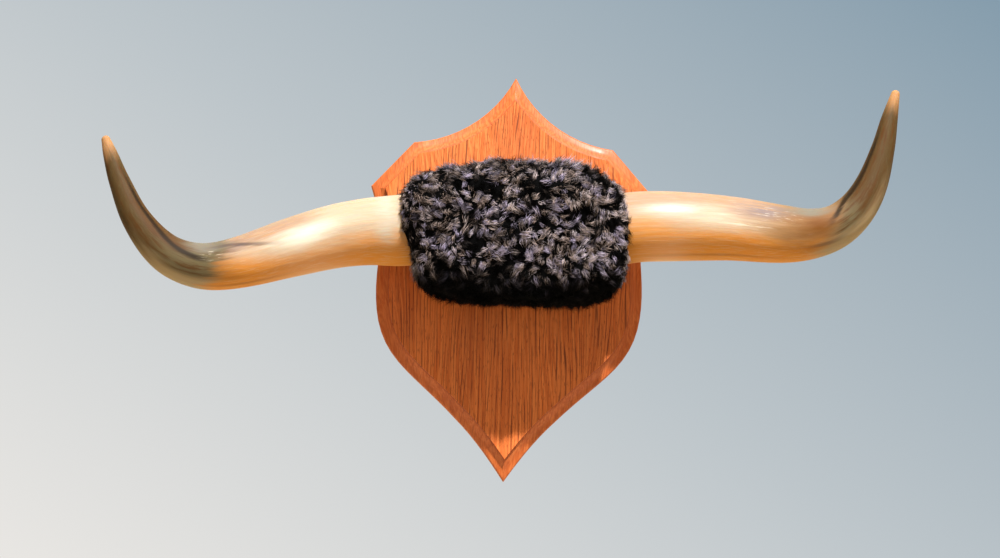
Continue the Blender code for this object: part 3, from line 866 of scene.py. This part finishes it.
def scatter(rings, spacing, draws):
    """Places on a lofted surface no nearer to each other than the spacing, with their normals."""
    points = rings.reshape(-1, 3)
    corner = np.arange(len(points)).reshape(rings.shape[:2])
    beside = np.roll(corner, -1, axis=1)
    halves = ((corner[:-1], beside[:-1], beside[1:]), (corner[:-1], beside[1:], corner[1:]))
    triangles = np.concatenate([np.stack(half, axis=-1).reshape(-1, 3) for half in halves])
    a, b, c = points[triangles].swapaxes(0, 1)
    slopes = np.cross(b - a, c - a)
    areas = np.linalg.norm(slopes, axis=1) / 2
    normals = np.zeros_like(points)
    for index in triangles.T:
        np.add.at(normals, index, slopes)
    normals = unit(normals)
    normals *= np.sign(np.sum(normals * (points - points.mean(axis=0))))
    count = int(areas.sum() / spacing ** 2 * TRIES_PER_LOCK)
    chosen = draws.choice(len(areas), size=count, p=areas / areas.sum())
    u, v = draws.random(count), draws.random(count)
    over = u + v > 1
    u[over], v[over] = 1 - u[over], 1 - v[over]
    shares = np.stack((1 - u - v, u, v), axis=1)[..., None]
    spots, ways = ((values[triangles[chosen]] * shares).sum(axis=1) for values in (points, normals))
    cells, kept = {}, []
    for index, spot in enumerate(spots):
        cell = tuple(np.floor(spot / spacing).astype(int))
        near = [
            other
            for i in (-1, 0, 1) for j in (-1, 0, 1) for k in (-1, 0, 1)
            for other in cells.get((cell[0] + i, cell[1] + j, cell[2] + k), ())
        ]
        if all(np.sum((spots[other] - spot) ** 2) > spacing ** 2 for other in near):
            cells.setdefault(cell, []).append(index)
            kept.append(index)
    return spots[kept], unit(ways[kept])


def combed(spots, ways, draws):
    """The direction in which each lock lies: away from the middle, a little down, with swirls."""
    away = unit(spots - np.array(COMB_CENTRE))
    swirl = np.stack([waves(spots, SWIRL_SCALE, shift) for shift in SWIRL_SHIFTS], axis=1)
    lie = 0.5 * away + 1.6 * swirl + draws.normal(0.0, 0.55, spots.shape)
    lie[:, 2] -= 0.30
    lie -= ways * np.sum(lie * ways, axis=1, keepdims=True)
    return unit(lie)


def clear_of_horns(points):
    """Push points that lie in a horn out to its surface."""
    for stations in (LEFT_HORN, RIGHT_HORN):
        path = smooth_path(stations, HORN_STEPS)
        places = np.array([place for place, _ in path])
        radii = np.array([radius for _, radius in path])
        near = (np.abs(points[:, 0]) < HAIR_REACH) & (points[:, 0] * stations[0][0] > 0)
        some = points[near]
        index = np.argmin(np.abs(some[:, None, 0] - places[None, :, 0]), axis=1)
        across = some - places[index]
        across[:, 0] = 0.0
        reach = np.linalg.norm(across, axis=1)
        clear = radii[index] + HAIR_CLEARANCE
        inside = reach < clear
        some[inside] += unit(across[inside]) * (clear - reach)[inside, None]
        points[near] = some
    return points


def strand_mesh(name, spines, radii, tones):
    """One mesh of closed three-sided strands: rings along each spine and a point at its end.

    spines and tones are strands by rings by 3, the last ring the tip. radii is strands by rings.
    """
    count, rings = spines.shape[:2]
    ahead = unit(spines[:, -1] - spines[:, 0])
    side = unit(np.cross(ahead, STRAND_ASIDE))
    other = np.cross(ahead, side)
    tone = np.concatenate((np.repeat(tones[:, :-1], 3, axis=1), tones[:, -1:]), axis=1)
    verts = np.empty(tone.shape)
    for corner in range(3):
        turn = math.tau * corner / 3
        out = side * math.cos(turn) + other * math.sin(turn)
        verts[:, corner:-1:3] = spines[:, :-1] + out[:, None] * radii[:, :-1, None]
    verts[:, -1] = spines[:, -1]
    faces = [(2, 1, 0)]
    for ring in range(rings - 2):
        for corner in range(3):
            a, b = 3 * ring + corner, 3 * ring + (corner + 1) % 3
            faces += [(a, b, b + 3), (a, b + 3, a + 3)]
    top = 3 * (rings - 2)
    faces += [(top + corner, top + (corner + 1) % 3, top + 3) for corner in range(3)]
    faces = np.array(faces)
    corners = (faces[None] + np.arange(count)[:, None, None] * verts.shape[1]).reshape(-1)
    mesh = bpy.data.meshes.new(name)
    mesh.vertices.add(count * verts.shape[1])
    mesh.vertices.foreach_set("co", verts.astype(np.float32).ravel())
    mesh.loops.add(len(corners))
    mesh.loops.foreach_set("vertex_index", corners.astype(np.int32))
    mesh.polygons.add(len(corners) // 3)
    mesh.polygons.foreach_set("loop_start", np.arange(0, len(corners), 3, dtype=np.int32))
    layer = mesh.attributes.new("lock_tone", "FLOAT_VECTOR", "POINT")
    layer.data.foreach_set("vector", tone.astype(np.float32).ravel())
    mesh.update(calc_edges=True)
    mesh.validate()
    mesh.shade_smooth()
    return mesh


def lock_lights_with_painted_shade(spots, ways, draws):
    """How light each lock is: in patches that are partly random tone and partly painted shade, darker on top,
    and with painted shade underneath and at the foot.
    """
    lights = np.clip(draws.uniform(-0.22, 1.80, len(spots)) + 2.4 * waves(spots, PATCH_SCALE), 0.0, 1.0)
    # Painted shade: locks that face down and locks near the foot are darkened
    lights *= np.clip(1.1 + 1.8 * ways[:, 2], 0.05, 1.0) * (1.0 - 0.60 * np.clip(ways[:, 2], 0.0, 1.0))
    over_foot = spots[:, 2] + HANG_DROP + FOOT_HEIGHT + 0.12 * np.clip(spots[:, 0], 0.0, 0.12)
    return lights * np.clip(over_foot / FOOT_SHADE_FADE, 0.13, 1.0)


def lock_places(rings, look, draws):
    """The locks' roots and the outward ways there, from left to right."""
    spots, ways = scatter(rings, look.spacing, draws)
    seen = spots[:, 1] < -BOARD_FRONT - BARE_EDGE
    spots, ways = spots[seen], ways[seen]
    order = np.argsort(spots[:, 0])
    return spots[order], ways[order]


def grow_fur(rings, look):
    """Spines, radii and tones of all strands, lock by lock, from left to right."""
    draws = np.random.default_rng(look.seed)
    spots, ways = lock_places(rings, look, draws)
    lies = combed(spots, ways, draws)
    locks = len(spots)
    lengths = look.lock_length * draws.uniform(0.75, 1.15, locks)
    lengths[np.abs(spots[:, 0]) > END_SHARE * SLEEVE_RIGHT] *= END_LENGTH
    lifts = draws.uniform(0.35, 1.0, locks)
    tints = draws.uniform(0.0, 1.0, locks)
    lights = lock_lights_with_painted_shade(spots, ways, draws)
    bends = np.clip(draws.normal(0.0, 0.30, (locks, 3)), -0.5, 0.5)

    lock = np.repeat(np.arange(locks), look.strands)
    out, lie = ways[lock], lies[lock]
    side = np.cross(out, lie)
    angle = draws.uniform(0, math.tau, len(lock))[:, None]
    spread = look.spacing * LOCK_WIDTH * np.sqrt(draws.random(len(lock)))
    offset = (lie * np.cos(angle) + side * np.sin(angle)) * spread[:, None]
    length = lengths[lock] * draws.uniform(0.70, 1.08, len(lock))
    stray = np.clip(draws.normal(0.0, 0.20, (len(lock), 3)), -0.45, 0.45)
    kink = np.clip(draws.normal(0.0, 0.15, (len(lock), 3)), -0.3, 0.3)
    t = STRAND_PLACES[None, :, None]
    rise = out[:, None] * (lifts[lock][:, None, None] * (t - 0.30 * t ** 2))
    run = lie[:, None] * (0.42 * t + 0.50 * t ** 2)
    drift = bends[lock][:, None] * t ** 2 + stray[:, None] * t + kink[:, None] * (4 * t * (1 - t))
    root = spots[lock] + offset - out * ROOT_DEPTH
    gather = offset[:, None] * (0.30 * t)
    spines = root[:, None] + (rise + run + drift) * length[:, None, None] - gather
    flat = clear_of_horns(spines.reshape(-1, 3))
    flat[:, 1] = np.clip(flat[:, 1], -FUR_FRONT, -BOARD_FRONT - BOARD_CLEARANCE)

    radii = look.strand * STRAND_TAPER[None] * draws.uniform(0.8, 1.2, (len(lock), 1))
    tones = np.empty(spines.shape)
    tones[..., 0] = np.clip(tints[lock] + draws.normal(0, 0.12, len(lock)), 0, 1)[:, None]
    tones[..., 1] = np.clip(lights[lock] * draws.uniform(0.10, 1.75, len(lock)), 0, 1)[:, None]
    tones[..., 2] = STRAND_PLACES[None]
    return flat.reshape(spines.shape), radii, tones


class HORNS_OT_plaque(bpy.types.Operator):
    """Round the shield's sharp edges and give it stained oak"""

    bl_idname = "horns.plaque"
    bl_label = "Oak shield"
    bl_options = {"REGISTER", "UNDO"}

    def execute(self, context):
        look = context.scene.horns_plaque
        bm = bmesh.new()
        bm.from_mesh(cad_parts["shield_plaque"].data)
        bmesh.ops.remove_doubles(bm, verts=bm.verts, dist=SAME_PLACE)
        bmesh.ops.dissolve_limit(
            bm, angle_limit=math.radians(0.5), verts=bm.verts, edges=bm.edges, use_dissolve_boundaries=False
        )
        mesh = smooth_mesh("shield_board", bm, ARRIS_OVER)
        board = new_piece("shield_board", mesh, "stained_oak", oak_finish(look), "shield_plaque")
        bevel = board.modifiers.new("arris", "BEVEL")
        bevel.width = look.arris
        bevel.segments = 2
        bevel.limit_method = "ANGLE"
        bevel.angle_limit = math.radians(ARRIS_OVER)
        bevel.harden_normals = True
        return {"FINISHED"}


class HORNS_OT_horns(bpy.types.Operator):
    """Loft both horns and give them polished horn"""

    bl_idname = "horns.horns"
    bl_label = "Horns"
    bl_options = {"REGISTER", "UNDO"}

    def execute(self, context):
        look = context.scene.horns_horn
        for side, stations, marks in (("left", LEFT_HORN, LEFT_MARKS), ("right", RIGHT_HORN, RIGHT_MARKS)):
            name = "polished_horn_" + side
            mesh = horn_mesh(name, stations, look)
            new_piece(name, mesh, "polished_horn", horn_finish(name, look, marks), "horn_" + side)
        return {"FINISHED"}


class HORNS_OT_fur(bpy.types.Operator):
    """Lay the hide over the block and grow its locks of hair"""

    bl_idname = "horns.fur"
    bl_label = "Fur wrap"
    bl_options = {"REGISTER", "UNDO"}

    def execute(self, context):
        look = context.scene.horns_fur
        mesh, rings = sleeve_mesh()
        spines, radii, tones = grow_fur(rings, look)
        hide = new_piece("fur_hide", mesh, "black_fur", hide_finish(look), "fur_wrap")
        wall = hide.modifiers.new("thickness", "SOLIDIFY")
        wall.thickness = HIDE_THICKNESS
        wall.offset = -1.0
        hair = fur_finish(look)
        shares = (np.array_split(values, len(FUR_PIECES)) for values in (spines, radii, tones))
        for name, *share in zip(FUR_PIECES, *shares):
            new_piece(name, strand_mesh(name, *share), "black_fur", hair, "fur_wrap")
        return {"FINISHED"}


class HORNS_OT_fasteners(bpy.types.Operator):
    """Give the block bare pine and the screws zinc"""

    bl_idname = "horns.fasteners"
    bl_label = "Block and screws"
    bl_options = {"REGISTER", "UNDO"}

    def execute(self, context):
        look = context.scene.horns_fastener
        dress_node("mount_block", pine_finish(look))
        zinc = zinc_finish(look)
        for side in ("left", "right"):
            dress_node("block_screw_" + side, zinc)
        return {"FINISHED"}


def direction(azimuth, elevation):
    """The way towards a place at an azimuth to the right of the front and an elevation, in degrees."""
    turn, rise = math.radians(azimuth), math.radians(elevation)
    return Vector((math.sin(turn) * math.cos(rise), -math.cos(turn) * math.cos(rise), math.sin(rise)))


def key_light(look):
    """A round lamp from the upper right, turned to the horns' middle."""
    back = direction(*KEY_DIRECTION)
    lamp = bpy.data.lights.new("key", "AREA")
    lamp.shape = "DISK"
    lamp.size = look.key_size
    lamp.energy = look.key_power
    light = new_object("key", lamp)
    light.location = KEY_TARGET + back * KEY_DISTANCE
    light.rotation_mode = "QUATERNION"
    light.rotation_quaternion = (-back).to_track_quat("-Z", "Y")


def view_axes():
    """The camera's right, up and backward directions."""
    back = direction(VIEW_AZIMUTH, VIEW_ELEVATION)
    level = (-back).cross(Vector((0, 0, 1))).normalized()
    right = Quaternion(-back, -math.radians(VIEW_ROLL)) @ level
    return right, back.cross(right), back


def add_camera():
    axes = view_axes()
    lens = bpy.data.cameras.new("view")
    lens.sensor_width = SENSOR
    lens.lens = FOCAL_PIXELS * SENSOR / IMAGE_WIDTH
    camera = new_object("view", lens)
    place = Matrix.Translation(VIEW_TARGET + axes[2] * VIEW_DISTANCE)
    camera.matrix_world = place @ Matrix(axes).transposed().to_4x4()
    bpy.context.scene.camera = camera


def backdrop(look):
    """A plain backdrop, pale at the lower left and blue-grey at the upper right, and soft light all round."""
    world = bpy.data.worlds.new("backdrop")
    bpy.context.scene.world = world
    world.use_nodes = True
    world.node_tree.nodes.clear()
    sky = Nodes(world.node_tree)
    right, up, _ = view_axes()
    slope = (right * (0.55 / IMAGE_WIDTH) + up * (0.45 / IMAGE_HEIGHT)) * FOCAL_PIXELS
    way = sky.node("TexCoord").outputs["Generated"]
    across = sky.node("VectorMath", {0: way, 1: slope}, operation="DOT_PRODUCT").outputs["Value"]
    stops = (0.0, (0.82, 0.80, 0.77)), (0.5, (0.51, 0.56, 0.59)), (1.0, (0.23, 0.33, 0.41))
    plain = sky.ramp(sky.math("ADD", across, 0.5), *stops)
    _, depth, height = sky.split(way)
    warmth = sky.steps(height, -0.5, 0.5, kind="LINEAR")
    soft = sky.mix(warmth, (1.0, 0.77, 0.44), (1.0, 0.90, 0.66))
    strength = sky.steps(depth, -0.2, 1.0, look.sky, look.sky * 2.5, kind="LINEAR")
    seen = sky.node("Background", {0: plain}).outputs[0]
    light = sky.node("Background", {0: soft, 1: strength}).outputs[0]
    camera_ray = sky.node("LightPath").outputs["Is Camera Ray"]
    either = sky.node("MixShader", {0: camera_ray, 1: light, 2: seen}).outputs[0]
    sky.node("OutputWorld", {0: either})


class HORNS_OT_stage(bpy.types.Operator):
    """Set up the floor, the backdrop, the lights and the camera"""

    bl_idname = "horns.stage"
    bl_label = "Stage"
    bl_options = {"REGISTER", "UNDO"}

    def execute(self, context):
        look = context.scene.horns_stage
        bm = bmesh.new()
        bmesh.ops.create_circle(
            bm, cap_ends=True, segments=96, radius=FLOOR_RADIUS,
            matrix=Matrix.Translation((0.0, -FLOOR_AHEAD, -look.floor_drop)),
        )
        paint = Finish("floor_paint")
        clouds = paint.noise(paint.place(), (3, 3, 3), detail=3)
        paint.surface(
            Base_Color=paint.mix(clouds, look.floor, tuple(0.96 * c for c in look.floor)), Roughness=0.9
        )
        floor = new_object("floor", smooth_mesh("floor", bm))
        floor.data.materials.append(paint.material)
        key_light(look)
        backdrop(look)
        add_camera()
        context.scene.view_settings.view_transform = "Standard"
        return {"FINISHED"}


class HORNS_PT_panel(bpy.types.Panel):
    """The pieces in the order in which they are made"""

    bl_label = "Mounted steer horns"
    bl_idname = "HORNS_PT_panel"
    bl_space_type = "VIEW_3D"
    bl_region_type = "UI"
    bl_category = "Horns"

    def draw(self, context):
        scene = context.scene
        for operator, settings, _ in STEPS:
            box = self.layout.box()
            box.operator(operator.bl_idname)
            group = getattr(scene, settings)
            for key in group.__annotations__:
                box.prop(group, key)


STEPS = (
    (HORNS_OT_plaque, "horns_plaque", PlaqueSettings),
    (HORNS_OT_horns, "horns_horn", HornSettings),
    (HORNS_OT_fur, "horns_fur", FurSettings),
    (HORNS_OT_fasteners, "horns_fastener", FastenerSettings),
    (HORNS_OT_stage, "horns_stage", StageSettings),
)


def register():
    for operator, name, settings in STEPS:
        bpy.utils.register_class(settings)
        setattr(bpy.types.Scene, name, PointerProperty(type=settings))
        bpy.utils.register_class(operator)
    bpy.utils.register_class(HORNS_PT_panel)


def unregister():
    bpy.utils.unregister_class(HORNS_PT_panel)
    for operator, name, settings in reversed(STEPS):
        bpy.utils.unregister_class(operator)
        delattr(bpy.types.Scene, name)
        bpy.utils.unregister_class(settings)


def main():
    register()
    bpy.ops.horns.plaque()
    bpy.ops.horns.horns()
    bpy.ops.horns.fur()
    bpy.ops.horns.fasteners()
    bpy.ops.horns.stage()


if __name__ == "__main__":
    main()
